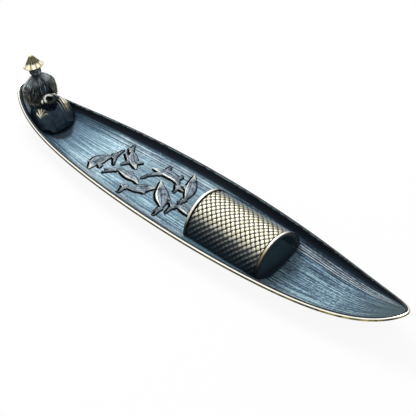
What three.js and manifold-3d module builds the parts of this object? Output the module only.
// Incense burner in the shape of a river boat: a shallow cast hull that catches the ash, a bright rail round
// its edge, a lift-off woven canopy, a shoal of fish on the floor, and a fisherman seated at the stern whose
// joined hands form the hole for the incense stick.
// Millimetres. +X points to the bow, +Z up. The origin is the middle of the footprint, on the table.
import * as THREE from "three";
import { mergeVertices } from "three/addons/utils/BufferGeometryUtils.js";
import Module from "manifold-3d";

const wasm = await Module();
wasm.setup();

// Hull
const hullLength = 235;
const hullBeam = 46.4;
const sternOutline = 1.04; // fullness of the outline seen from above: a lower power is fuller
const bowOutline = 1.1;
const standHeight = 1.0; // table to the flat of the keel
const floorThickness = 1.8;
const trayDepth = 7.0; // floor to rim amidships
const sternRise = 8.3;
const bowRise = 11.1;
const sternSheer = 8.7; // a higher power keeps the rim level for longer
const bowSheer = 6.3;
const sternKeel = 8; // a higher power keeps the floor level for longer
const bowKeel = 5.5;
const flatShare = 0.5; // part of the half breadth that is flat floor
const bilgePower = 2.2;
const wallTop = 0.5; // thickness of the wall at its upper edge
const wallTopAtTip = 0.8;

// Rail
const railWidth = 1.2;
const railWidthAtTip = 1.5;
const railBevel = 0.7;
const railSide = 0.9;
const railTuck = 1.2; // how far the hull's side runs in under the rail

// Clearances
const solderGap = 0.1;
const seatGap = 0.2;
const liftGap = 0.3;
const slotGap = 0.15;

// Canopy
const canopyStern = 6.5;
const canopyLength = 42.8;
const canopyWidth = 30.2;
const canopyHeight = 16.4; // above the floor
const hoopWidth = 1.0;
const hoopThickness = 0.7;
const matThickness = 1.2;
const weaveMargin = 0.7; // plain strip between a hoop and the weave
const weaveRelief = 0.35;
const weavePitch = 2.85;
const weaveRows = 30;
const tabLength = 0.8;
const tabWidth = 1.0;
const tabDepth = 0.9;

// Fish
const planPitch = 1; // mm to a step of the shoal's plan
const fishBack = 1.3;
const finHeight = 0.7;
const fishEdge = 0.35; // height of the outline's edge
const tailRoot = 0.7; // width where the body meets the tail
const lobeRoot = 1.0;
const lobeWidth = 2.3;
const finWidth = 2.2;
const finTip = 0.4;
const fishParting = 0.25;

// Fisherman: sizes along the body are measured from the seat, which leans back
const seatFromStern = 15.9;
const seatAside = 0.8;
const seatHeight = 8;
const bodyLean = 9.9; // degrees, to the stern
const bodySway = 2.2; // degrees, to the near side
const collarHeight = 20.6;
const hemHeight = 7.5; // at the front
const hemRise = 4.0; // towards the back
const capeBreadth = 18.6;
const capeFront = 5.9;
const capeBack = 7.2;
const capeThickness = 0.9;
const capeAside = 0.4; // the torso sits a little to port of the seat
const capeOpening = 18; // at the level of the seat
const capeOutline = [ // shares of half breadth and height
  [0.97, 0],
  [1, 0.22],
  [0.97, 0.44],
  [0.86, 0.64],
  [0.68, 0.8],
  [0.48, 0.92],
];
const collarDiameter = 5;
const neckDiameter = 3.8;
const headWidth = 6.1;
const headHeight = 7.2;
const headAboveCollar = 3.0; // the head's middle
const headForward = 0.3;
const noseLength = 0.5;
const hatDiameter = 10.2;
const hatHeight = 5.6;
const hatRim = 0.7;
const hatAboveCollar = 5.3; // the brim's underside
const hatTilt = 3.5; // degrees more than the body
const hatCrown = [[0.52, 0.5], [0.3, 0.84], [0.15, 0.97]]; // shares of radius and height
const hipDiameter = 11.6;
const hipSpread = 8.4;
const hipHeight = 4.0;
const kneeSpread = 12.2;
const kneeReach = 6.5;
const kneeHeight = 3.6;
const thighDiameter = 6.0;
const ankleSpread = 3;
const ankleReach = 8.2;
const ankleHeight = 0.6;
const shinDiameter = 4.0;
const elbowSpread = 9.6;
const elbowReach = 2.5;
const elbowHeight = 8.2;
const sleeveDiameter = 3.2;
const skirtReach = 7.6;
const skirtBreadth = 13.4;
const skirtHeight = 3.4;

// Hands and stick
const stickBore = 2.3;
const handThickness = 2.1;
const handReach = 5.7;
const handHeight = 8.8;
const stickSlope = 60; // degrees above level
const stickSocket = 1.6; // depth of the socket in the lap

// Screw under the fisherman
const screwReach = 2.5; // forward of the seat
const screwThread = 3.0;
const screwHead = 5.4;
const screwHeadHeight = 1.6;
const screwLength = 8;
const screwKey = 2.2;
const screwKeyDepth = 1.0;
const bossDiameter = 8.4;
const bossBottom = 3.4;

// Feet
const footDiameter = 8;
const footRecess = 0.4;
const footSpacing = 110;
const footTrack = 10;

// Facets
const stations = 36;
const bilgeSteps = 7;
const roundSteps = 20;
const archSteps = 24;
const spineSteps = 10;

const degree = Math.PI / 180;
const floorBase = standHeight + floorThickness;
const rimBase = floorBase + trayDepth;
const railDepth = railBevel + railSide;
const headCentre = collarHeight + headAboveCollar;
const hatSeat = collarHeight + hatAboveCollar;

// Four loops go round the hull's edge, each with a length and a beam: the rail's outside, the wall's upper
// edge outside and inside, and the line where the hull's side runs in under the rail.
const railLoop = { length: hullLength, beam: hullBeam };
const wallLoop = inset(railLoop, railWidthAtTip, railWidth);
const trayLoop = inset(wallLoop, wallTopAtTip, wallTop);
const tuckLoop = inset(wallLoop, railTuck, railTuck);

function inset(loop, atTip, atSide) {
  return { length: loop.length - 2 * atTip, beam: loop.beam - 2 * atSide };
}

// Height of the rim along the boat: level amidships, swept up at both ends.
function rimHeight(x) {
  const share = Math.abs((2 * x) / hullLength);
  return rimBase + (x < 0 ? sternRise * share ** sternSheer : bowRise * share ** bowSheer);
}

// Where the hull's side ends under the rail.
function underRail(x) {
  return rimHeight(x) - railDepth;
}

// A lengthwise line that lies at `low` amidships and meets `high(x)` at the tips of a loop.
function sweptLine(x, loop, low, high) {
  const tip = (Math.sign(x) || 1) * (loop.length / 2);
  const share = Math.min(1, Math.abs(x / tip));
  return low + (high(tip) - low) * share ** (x < 0 ? sternKeel : bowKeel);
}

// Share of the wall's height gained at a share of the half breadth: a flat floor, then a rounded bilge.
function bilge(share) {
  return Math.max(0, (Math.abs(share) - flatShare) / (1 - flatShare)) ** bilgePower;
}

function halfBreadth(x, loop) {
  const share = Math.min(1, Math.abs((2 * x) / loop.length));
  const fullness = Math.sqrt(1 - share * share) ** (x < 0 ? sternOutline : bowOutline);
  return (loop.beam / 2) * fullness;
}

// Height of the tray's inside at a place.
function trayHeight(x, y) {
  const low = sweptLine(x, trayLoop, floorBase, rimHeight);
  const across = y / Math.max(halfBreadth(x, trayLoop), 1e-6);
  return low + (rimHeight(x) - low) * bilge(across);
}

// Closed geometry becomes a solid once its doubled points are merged.
function solid(geometry) {
  const bare = geometry.index ? geometry.toNonIndexed() : geometry.clone();
  bare.deleteAttribute("normal");
  bare.deleteAttribute("uv");
  const welded = mergeVertices(bare, 1e-4);
  const mesh = new wasm.Mesh({
    numProp: 3,
    vertProperties: welded.attributes.position.array,
    triVerts: new Uint32Array(welded.index.array),
  });
  return new wasm.Manifold(mesh);
}

function geometryOf(made) {
  const mesh = made.getMesh();
  const geometry = new THREE.BufferGeometry();
  geometry.setAttribute("position", new THREE.BufferAttribute(new Float32Array(mesh.vertProperties), 3));
  geometry.setIndex(new THREE.BufferAttribute(new Uint32Array(mesh.triVerts), 1));
  return geometry;
}

function joined(solids) {
  return solids.reduce((whole, piece) => whole.add(piece));
}

function cut(made, cutters) {
  return cutters.reduce((rest, cutter) => rest.subtract(cutter), made);
}

// Triangles given by their points; one whose points fall together, as at the hull's tips, is left out.
function surface(triangles) {
  const apart = (a, b) => a.some((value, k) => Math.abs(value - b[k]) > 1e-4);
  const whole = triangles.filter(([a, b, c]) => apart(a, b) && apart(b, c) && apart(c, a));
  const geometry = new THREE.BufferGeometry();
  geometry.setAttribute("position", new THREE.Float32BufferAttribute(whole.flat(2), 3));
  return geometry;
}

function quad(a, b, c, d) {
  return [[a, b, c], [a, c, d]];
}

// The faces between two rows of points, closed into a ring if asked.
function between(first, second, ring = false) {
  const last = first.length - (ring ? 0 : 1);
  return Array.from({ length: last }, (_, i) => {
    const k = (i + 1) % first.length;
    return quad(first[i], first[k], second[k], second[i]);
  }).flat();
}

function skinFaces(rows) {
  return rows.slice(1).flatMap((row, i) => between(rows[i], row));
}

function turnedOver(triangles) {
  return triangles.map(([a, b, c]) => [a, c, b]);
}

// Two skins over the same grid, closed along its border. The upper one's rows run to the left of its columns.
function slab(upper, lower) {
  const border = (rows) => [
    ...rows[0],
    ...rows.slice(1, -1).map((row) => row.at(-1)),
    ...[...rows.at(-1)].reverse(),
    ...rows.slice(1, -1).reverse().map((row) => row[0]),
  ];
  return surface([
    ...turnedOver(skinFaces(upper)),
    ...skinFaces(lower),
    ...between(border(upper), border(lower), true),
  ]);
}

const stationAngles = Array.from({ length: stations + 1 }, (_, i) => (Math.PI * i) / stations);
const sideShares = Array.from({ length: bilgeSteps + 1 }, (_, j) => {
  return flatShare + ((1 - flatShare) * j) / bilgeSteps;
});
const acrossShares = [...sideShares.map((share) => -share).reverse(), 0, ...sideShares];

function loopPoint(loop, angle, side, height) {
  const x = (-loop.length / 2) * Math.cos(angle);
  return [x, side * halfBreadth(x, loop), height(x)];
}

// One skin of the hull: rows across the boat, from tip to tip.
function skin(loop, low, high) {
  return stationAngles.map((angle) => {
    const [x, half, edge] = loopPoint(loop, angle, 1, high);
    const keel = sweptLine(x, loop, low, high);
    return acrossShares.map((share) => [x, share * half, keel + (edge - keel) * bilge(share)]);
  });
}

// A band of faces between two loops round the hull's edge.
function loopBand(from, to) {
  const ring = ({ loop, height }) => [
    ...stationAngles.map((angle) => loopPoint(loop, angle, 1, height)),
    ...stationAngles.slice(1, -1).reverse().map((angle) => loopPoint(loop, angle, -1, height)),
  ];
  return between(ring(from), ring(to), true);
}

function hullShell() {
  const trayEdge = { loop: trayLoop, height: rimHeight };
  const wallEdge = { loop: wallLoop, height: rimHeight };
  const tuckEdge = { loop: tuckLoop, height: underRail };
  return solid(surface([
    ...turnedOver(skinFaces(skin(trayLoop, floorBase, rimHeight))),
    ...skinFaces(skin(tuckLoop, standHeight, underRail)),
    ...loopBand(trayEdge, wallEdge),
    ...loopBand(wallEdge, tuckEdge),
  ]));
}

function rail() {
  const corners = [
    { loop: inset(wallLoop, -solderGap, -solderGap), height: rimHeight },
    { loop: railLoop, height: (x) => rimHeight(x) - railBevel },
    { loop: railLoop, height: underRail },
    { loop: inset(tuckLoop, -solderGap, -solderGap), height: underRail },
  ];
  return solid(surface(corners.flatMap((corner, i) => loopBand(corner, corners[(i + 1) % corners.length]))));
}

// Everything below the tray's inside, raised by a gap: it shapes the underside of what stands in the boat.
function floorBlock(gap) {
  const wellBelow = -hullBeam;
  const upper = skin(trayLoop, floorBase + gap, (x) => rimHeight(x) + gap);
  const lower = upper.map((row) => row.map(([x, y]) => [x, y, wellBelow]));
  return solid(slab(upper, lower));
}

function post(diameter, height, [x, y, z], steps = roundSteps) {
  const geometry = new THREE.CylinderGeometry(diameter / 2, diameter / 2, height, steps);
  geometry.rotateX(Math.PI / 2);
  geometry.translate(x, y, z + height / 2);
  return geometry;
}

// Canopy: half ellipses, the hoops' outside being the first, all on the level of the floor
function archBlock(from, to, inward) {
  const [across, up] = [canopyWidth / 2 - inward, canopyHeight - inward];
  const shape = new THREE.Shape();
  shape.moveTo(across, -trayDepth);
  shape.lineTo(across, 0);
  shape.absellipse(0, 0, across, up, 0, Math.PI);
  shape.lineTo(-across, -trayDepth);
  shape.closePath();
  const options = { depth: to - from, curveSegments: archSteps, bevelEnabled: false };
  const geometry = new THREE.ExtrudeGeometry(shape, options);
  geometry.rotateX(Math.PI / 2);
  geometry.rotateZ(Math.PI / 2);
  geometry.translate(from, 0, floorBase);
  return solid(geometry);
}

const canopyBow = canopyStern + canopyLength;
const matOutside = hoopThickness + solderGap;
const underCanopy = floorBlock(liftGap);

function tab([x, y], grow) {
  const block = new THREE.BoxGeometry(tabLength + 2 * grow, tabWidth + 2 * grow, 2 * (tabDepth + grow));
  block.translate(x, y, trayHeight(x, y));
  return solid(block);
}

// The four tabs stand under the mat's ends, in the middle of its thickness.
const tabSpots = [canopyStern + hoopWidth, canopyBow - hoopWidth].flatMap((x) => {
  const y = canopyWidth / 2 - matOutside - matThickness / 2;
  return [[x, y], [x, -y]];
});

function hoop(from) {
  const to = from + hoopWidth;
  return cut(archBlock(from, to, 0), [archBlock(from - 1, to + 1, hoopThickness), underCanopy]);
}

// The woven sheet, plain at both ends under the hoops: strips cross at a slant, and each crossing is a raised
// diamond.
function weaveBlock() {
  const from = canopyStern + hoopWidth + weaveMargin;
  const length = canopyLength - 2 * (hoopWidth + weaveMargin);
  const crossings = 2 * Math.round(length / weavePitch);
  const arch = (x, raised) => Array.from({ length: weaveRows + 1 }, (_, j) => {
    const angle = (Math.PI * j) / weaveRows;
    const inward = matOutside - (raised(j) ? weaveRelief : 0);
    const across = (canopyWidth / 2 - inward) * Math.cos(angle);
    return [x, across, floorBase + (canopyHeight - inward) * Math.sin(angle)];
  });
  const plain = (x) => arch(x, () => false);
  const woven = Array.from({ length: crossings - 1 }, (_, i) => {
    return arch(from + (length * (i + 1)) / crossings, (j) => (i + j) % 2);
  });
  const arches = [plain(canopyStern), plain(from), ...woven, plain(from + length), plain(canopyBow)];
  const cells = [];
  for (let i = 0; i + 1 < arches.length; i++)
    for (let j = 0; j < weaveRows; j++) {
      const [a, b] = [arches[i][j], arches[i][j + 1]];
      const [d, c] = [arches[i + 1][j], arches[i + 1][j + 1]];
      cells.push(...((i + j) % 2 ? [[a, b, d], [b, c, d]] : [[a, b, c], [a, c, d]]));
    }
  const middles = arches.map((arch) => [arch[0][0], 0, floorBase]);
  const fan = (arch, middle) => arch.slice(1).map((point, j) => [middle, arch[j], point]);
  return solid(surface([
    ...cells,
    ...turnedOver(fan(arches[0], middles[0])),
    ...fan(arches.at(-1), middles.at(-1)),
    ...between(arches.map((arch) => arch[0]), middles),
    ...between(middles, arches.map((arch) => arch.at(-1))),
  ]));
}

function canopyMat() {
  const tunnel = archBlock(canopyStern - 1, canopyBow + 1, matOutside + matThickness);
  return joined([cut(weaveBlock(), [tunnel, underCanopy]), ...tabSpots.map((spot) => tab(spot, 0))]);
}

// Fish: each is a few tapered strips laid on the floor. A strip follows points seen from above, and its width
// and height change from its start to its end.
const roundAcross = [-1, -0.5, 0, 0.5, 1];
const flatAcross = [-1, 0, 1];
const fullness = (share) => Math.max(0, Math.sin(Math.PI * share ** 0.75)) ** 1.5; // fullest at two fifths

function strip(points, steps, sides, width, height, grow) {
  const line = new THREE.CatmullRomCurve3(points.map(([x, y]) => new THREE.Vector3(x, y, 0)));
  const row = (share, raise) => {
    const middle = line.getPoint(share);
    const ahead = line.getTangent(share);
    const half = width(share) / 2 + grow;
    return sides.map((side) => {
      const top = fishEdge + (height(share) - fishEdge) * (1 - side * side) + grow;
      return [middle.x - ahead.y * half * side, middle.y + ahead.x * half * side, raise ? top : -grow];
    });
  };
  const shares = Array.from({ length: steps + 1 }, (_, i) => i / steps);
  return solid(slab(shares.map((share) => row(share, true)), shares.map((share) => row(share, false))));
}

function fishSolid({ spine, width, lobes, fins }, grow) {
  const [before, root] = spine.slice(-2);
  const onward = (share) => root.map((value, k) => value + (value - before[k]) * share);
  const lobeShape = (share) => lobeRoot + (lobeWidth - lobeRoot) * Math.sin(Math.PI * share ** 0.7);
  const finShape = (share) => finWidth + (finTip - finWidth) * share;
  const bodyShape = (share) => tailRoot + (width - tailRoot) * fullness(share);
  const back = (share) => finHeight + (fishBack - finHeight) * fullness(share);
  const flat = () => finHeight;
  const body = strip(spine, spineSteps, roundAcross, bodyShape, back, grow);
  const bend = [onward(-0.15), onward(0.12)];
  const tail = lobes.map((tip) => strip([...bend, tip], 3, flatAcross, lobeShape, flat, grow));
  const blades = fins.map((points) => strip(points, 2, flatAcross, finShape, flat, grow));
  return joined([body, ...tail, ...blades]);
}

// Lays a flat solid on the tray's inside.
function laidOnFloor(made) {
  const geometry = geometryOf(made);
  const places = geometry.attributes.position;
  for (let i = 0; i < places.count; i++)
    places.setZ(i, places.getZ(i) + solderGap + trayHeight(places.getX(i), places.getY(i)));
  return geometry;
}

// The shoal's plan: each fish from snout to tail root, its width, its tail's tips, and each fin's ends.
const shoalPlan = [
  {
    spine: [[-58.4, -11.1], [-59.5, -6.9], [-59.5, -3.0], [-58.5, 0.4], [-56.3, 3.8]],
    width: 6.4,
    lobes: [[-51.5, -1.5], [-56.1, 10.6]],
    fins: [[[-60.2, -5.6], [-62.8, -7.8]], [[-56.5, -5.0], [-55.0, -7.2]]],
  },
  {
    spine: [[-41.9, 4.1], [-45.3, 6.3], [-48.4, 8.6], [-50.9, 10.7], [-52.9, 12.1]],
    width: 4.6,
    lobes: [[-55.8, 12.4], [-53.4, 14.8]],
    fins: [[[-45.0, 7.8], [-42.5, 9.9]], [[-48.0, 6.0], [-49.7, 1.1]], [[-48.9, 6.7], [-54.4, 9.4]]],
  },
  {
    spine: [[-33.4, -3.1], [-37.1, -1.6], [-40.5, -1.4], [-43.9, -1.2], [-47.1, -1.5], [-48.9, -3.0]],
    width: 4.6,
    lobes: [[-53.0, -6.4], [-52.3, -9.0]],
    fins: [[[-40.4, -0.3], [-42.2, 1.5]]],
  },
  {
    spine: [[-25.8, 0.0], [-28.2, -2.1], [-30.4, -4.6], [-32.4, -6.6], [-36.2, -8.4]],
    width: 5.8,
    lobes: [[-39.3, -9.0], [-34.8, -15.6]],
    fins: [[[-28.6, -5.0], [-26.4, -6.0]]],
  },
  {
    spine: [[-37.0, 10.0], [-32.9, 10.8], [-28.9, 11.7], [-24.5, 11.8], [-21.0, 10.5], [-18.6, 8.3]],
    width: 4.4,
    lobes: [[-17.0, 3.5], [-14.4, 7.4]],
    fins: [
      [[-30.7, 10.2], [-33.9, 6.0], [-35.7, 0.5]],
      [[-30.1, 13.0], [-29.8, 15.6]],
      [[-22.4, 12.3], [-21.2, 14.7]],
    ],
  },
  {
    spine: [[-27.2, 5.8], [-23.8, 2.5], [-20.5, -0.5], [-17.4, -3.4], [-15.0, -6.0], [-13.9, -8.6]],
    width: 6.8,
    lobes: [[-12.2, -15.1], [-14.9, -12.1]],
    fins: [[[-16.8, -0.8], [-14.9, -1.0]]],
  },
  {
    spine: [[-16.7, 17.5], [-15.6, 15.3], [-13.9, 12.3], [-11.8, 8.8], [-10.5, 5.8], [-10.0, 3.2]],
    width: 5.8,
    lobes: [[-11.6, -0.2], [-9.4, -1.5]],
    fins: [[[-15.2, 10.0], [-17.0, 10.7]]],
  },
  {
    spine: [[1.9, -3.4], [-1.5, -1.9], [-5.3, -1.1], [-8.4, -1.6], [-10.4, -3.2]],
    width: 4.2,
    lobes: [[-9.8, -9.8], [-14.2, -2.2]],
    fins: [[[-5.4, -0.2], [-7.8, 1.1]]],
  },
];

const shoal = shoalPlan.map(({ spine, width, lobes, fins }) => {
  const sized = (points) => points.map((point) => point.map((value) => value * planPitch));
  return { spine: sized(spine), width: width * planPitch, lobes: sized(lobes), fins: fins.map(sized) };
});

// Where outlines would meet, the later fish gives way.
function fishGeometry(index) {
  const earlier = shoal.slice(0, index).map((fish) => fishSolid(fish, fishParting));
  return laidOnFloor(cut(fishSolid(shoal[index], 0), earlier));
}

// Fisherman: shapes are made in the body's own upright frame, then leaned back and set on the seat.
const seat = [seatFromStern - hullLength / 2, seatAside, seatHeight];

function seated(geometry) {
  geometry.rotateY(-bodyLean * degree);
  geometry.rotateX(bodySway * degree);
  geometry.translate(...seat);
  return geometry;
}

// A limb with round ends, thickened by `grow` where it is used to cut its neighbours.
function limb(from, to, diameter, grow) {
  const start = new THREE.Vector3(...from);
  const along = new THREE.Vector3(...to).sub(start);
  const geometry = new THREE.CapsuleGeometry(diameter / 2 + grow, along.length(), 2, 10);
  const upright = new THREE.Vector3(0, 1, 0);
  const turn = new THREE.Quaternion().setFromUnitVectors(upright, along.clone().normalize());
  geometry.applyQuaternion(turn);
  geometry.translate(...start.addScaledVector(along, 0.5).toArray());
  return solid(seated(geometry));
}

// A turned form, then drawn out to the cape's front, back and sides.
function turned(profile) {
  const points = profile.map(([radius, height]) => new THREE.Vector2(radius, height));
  const geometry = new THREE.LatheGeometry(points, roundSteps);
  geometry.rotateX(Math.PI / 2);
  const places = geometry.attributes.position;
  for (let i = 0; i < places.count; i++) {
    const x = places.getX(i);
    places.setX(i, x * ((x > 0 ? capeFront : capeBack) / (capeBreadth / 2)));
  }
  geometry.translate(0, capeAside, 0);
  return solid(seated(geometry));
}

// The cape's outside, or a form inside it, from its foot up to the collar.
function capeForm(inward, bottom, footDiameter = capeBreadth) {
  const [wide, tall] = [capeBreadth / 2, collarHeight - hemHeight];
  const flank = capeOutline.map(([out, up]) => [wide * out - inward, hemHeight + (tall - inward) * up]);
  const top = collarHeight - inward;
  const foot = [Math.min(footDiameter / 2, flank[0][0]), bottom];
  return turned([[0, bottom], foot, ...flank, [collarDiameter / 2, top], [0, top]]);
}

const handCentre = [handReach, 0, handHeight];
const sides = [-1, 1];

function forearms(grow) {
  const ringRadius = (stickBore + handThickness) / 2;
  const ring = new THREE.TorusGeometry(ringRadius, handThickness / 2 + grow, 8, 16);
  ring.rotateY((90 - stickSlope) * degree);
  ring.translate(...handCentre);
  const sleeves = sides.map((side) => {
    const elbow = [elbowReach, (side * elbowSpread) / 2, elbowHeight];
    const hand = [handReach, side * (ringRadius + handThickness / 4), handHeight];
    return limb(elbow, hand, sleeveDiameter, grow);
  });
  return joined([solid(seated(ring)), ...sleeves]);
}

// The way of the stick: through the hands and down into the lap.
function stickPath(diameter, below, above) {
  const geometry = new THREE.CylinderGeometry(diameter / 2, diameter / 2, below + above, roundSteps);
  geometry.translate(0, (above - below) / 2, 0);
  geometry.rotateX(Math.PI / 2);
  geometry.rotateY((90 - stickSlope) * degree);
  geometry.translate(...handCentre);
  return solid(seated(geometry));
}

function arms() {
  return cut(forearms(0), [stickPath(stickBore, 2 * handThickness, 2 * handThickness)]);
}

function legs(grow) {
  return joined(sides.flatMap((side) => {
    const knee = [kneeReach, (side * kneeSpread) / 2, kneeHeight];
    const hip = [0, (side * hipSpread) / 2, hipHeight];
    const ankle = [ankleReach, (-side * ankleSpread) / 2, ankleHeight];
    return [limb(hip, knee, thighDiameter, grow), limb(knee, ankle, shinDiameter, grow)];
  }));
}

// The skirt is spread under the crossed legs and fills the space down to the boat's floor.
function skirt() {
  const geometry = new THREE.SphereGeometry(1, 16, 10);
  geometry.scale(skirtReach, skirtBreadth / 2, seatHeight);
  geometry.translate(0, 0, skirtHeight - seatHeight);
  return solid(seated(geometry));
}

const screwAt = [seat[0] + screwReach, seat[1]];
const underFigure = floorBlock(solderGap);

function screwHole(clearance) {
  const bottom = bossBottom - 2 * solderGap;
  return solid(post(screwThread + 2 * clearance, screwLength + 2 * clearance, [...screwAt, bottom]));
}

function robe() {
  const body = joined([capeForm(capeThickness + seatGap, 0, hipDiameter), legs(0), skirt()]);
  const lap = handThickness + stickSocket;
  const ways = [stickPath(stickBore, lap, lap), screwHole(solderGap)];
  return cut(body, [underFigure, forearms(seatGap), neck(seatGap), ...ways]);
}

// Everything below the slanting hem.
function belowHem() {
  const outline = new THREE.Shape();
  outline.moveTo(capeFront, hemHeight);
  outline.lineTo(-capeBack, hemHeight + hemRise);
  outline.lineTo(-capeBack, hemHeight - hemRise);
  outline.lineTo(capeFront, hemHeight - hemRise);
  outline.closePath();
  const geometry = new THREE.ExtrudeGeometry(outline, { depth: 2 * capeBreadth, bevelEnabled: false });
  geometry.rotateX(Math.PI / 2);
  geometry.translate(0, capeBreadth, 0);
  return solid(seated(geometry));
}

function cape() {
  const shell = cut(capeForm(0, hemHeight), [capeForm(capeThickness, -seatHeight)]);
  const opening = new THREE.Shape();
  opening.moveTo(0, collarHeight - 2 * capeThickness);
  opening.lineTo(-capeOpening / 2, 0);
  opening.lineTo(-capeOpening / 2, -seatHeight);
  opening.lineTo(capeOpening / 2, -seatHeight);
  opening.lineTo(capeOpening / 2, 0);
  opening.closePath();
  const slot = new THREE.ExtrudeGeometry(opening, { depth: 2 * capeFront, bevelEnabled: false });
  slot.rotateX(Math.PI / 2);
  slot.rotateZ(Math.PI / 2);
  const around = [forearms(seatGap), legs(seatGap), neck(seatGap)];
  return cut(shell, [belowHem(), solid(seated(slot)), ...around]);
}

function neck(grow) {
  const bottom = collarHeight - 3 * capeThickness;
  return solid(seated(post(neckDiameter + 2 * grow, headCentre - bottom + grow, [0, 0, bottom - grow])));
}

function skull(grow) {
  const geometry = new THREE.SphereGeometry(1, 16, 10);
  geometry.scale(headWidth / 2 + grow, headWidth / 2 + grow, headHeight / 2 + grow);
  geometry.translate(headForward, 0, headCentre);
  return solid(seated(geometry));
}

function head() {
  const nose = new THREE.ConeGeometry(noseLength, 3 * noseLength, 6);
  nose.rotateX(Math.PI / 2);
  nose.translate(headForward + headWidth / 2 - noseLength / 4, 0, headCentre - noseLength);
  return joined([skull(0), neck(0), solid(seated(nose))]);
}

function hat() {
  const radius = hatDiameter / 2;
  const profile = [[0, 0], [radius - hatRim, 0], [radius, hatRim / 2], [radius - hatRim / 2, hatRim]];
  const crown = hatCrown.map(([out, up]) => [radius * out, hatHeight * up]);
  const points = [...profile, ...crown, [0, hatHeight]].map(([out, up]) => new THREE.Vector2(out, up));
  const geometry = new THREE.LatheGeometry(points, roundSteps);
  geometry.rotateX(Math.PI / 2);
  geometry.rotateY(-hatTilt * degree);
  geometry.translate(0, 0, hatSeat);
  return cut(solid(seated(geometry)), [skull(seatGap)]);
}

function screw() {
  const headAt = bossBottom - solderGap - screwHeadHeight;
  const shank = solid(post(screwThread, screwLength, [...screwAt, bossBottom - solderGap]));
  const cap = solid(post(screwHead, screwHeadHeight, [...screwAt, headAt]));
  const key = solid(post(screwKey, 2 * screwKeyDepth, [...screwAt, headAt - screwKeyDepth], 6));
  return cap.add(shank).subtract(key);
}

const footSpots = sides.flatMap((end) => sides.map((side) => {
  return [(end * footSpacing) / 2, (side * footTrack) / 2];
}));

function hull() {
  const boss = solid(post(bossDiameter, rimBase + sternRise, [...screwAt, bossBottom]));
  const recesses = footSpots.map((spot) => {
    return solid(post(footDiameter + 2 * slotGap, standHeight + footRecess, [...spot, 0]));
  });
  const slots = tabSpots.map((spot) => tab(spot, slotGap));
  const shell = hullShell().add(boss.intersect(floorBlock(-floorThickness / 4)));
  return cut(shell, [screwHole(slotGap), ...recesses, ...slots]);
}

// Finishes
const finishes = {
  bluedCasting: { color: 0x2c3b47, roughness: 0.42, metalness: 0.85 },
  rubbedBrass: { color: 0xd8c27c, roughness: 0.3, metalness: 0.95 },
  antiqueBrass: { color: 0x8d855f, roughness: 0.4, metalness: 0.9 },
  relief: { color: 0x6d7c83, roughness: 0.4, metalness: 0.85 },
  darkCasting: { color: 0x30352f, roughness: 0.45, metalness: 0.85 },
  steel: { color: 0x9a9da0, roughness: 0.35, metalness: 1.0 },
  rubber: { color: 0x1b1b1c, roughness: 0.85, metalness: 0.0 },
};

const boat = new THREE.Group();

function place(name, geometry, finish) {
  const shape = geometry instanceof THREE.BufferGeometry ? geometry : geometryOf(geometry);
  shape.computeVertexNormals();
  const mesh = new THREE.Mesh(shape, new THREE.MeshStandardMaterial(finishes[finish]));
  mesh.name = name;
  boat.add(mesh);
  return mesh;
}

place("hull", hull(), "bluedCasting");
place("gunwale_rail", rail(), "rubbedBrass");
place("canopy_mat", canopyMat(), "antiqueBrass");
place("canopy_hoop_stern", hoop(canopyStern), "rubbedBrass");
place("canopy_hoop_bow", hoop(canopyBow - hoopWidth), "rubbedBrass");
shoal.forEach((fish, index) => place(`fish_${index + 1}`, fishGeometry(index), "relief"));
place("fisherman_robe", robe(), "darkCasting");
place("fisherman_cape", cape(), "darkCasting");
place("fisherman_arms", arms(), "antiqueBrass");
place("fisherman_head", head(), "darkCasting");
place("straw_hat", hat(), "rubbedBrass");
place("figure_screw", screw(), "steel");
footSpots.forEach((spot, index) => {
  const padHeight = standHeight + footRecess - solderGap;
  const pad = place(`foot_pad_${index + 1}`, post(footDiameter, padHeight, [0, 0, 0]), "rubber");
  pad.position.set(...spot, 0);
});

export default boat;
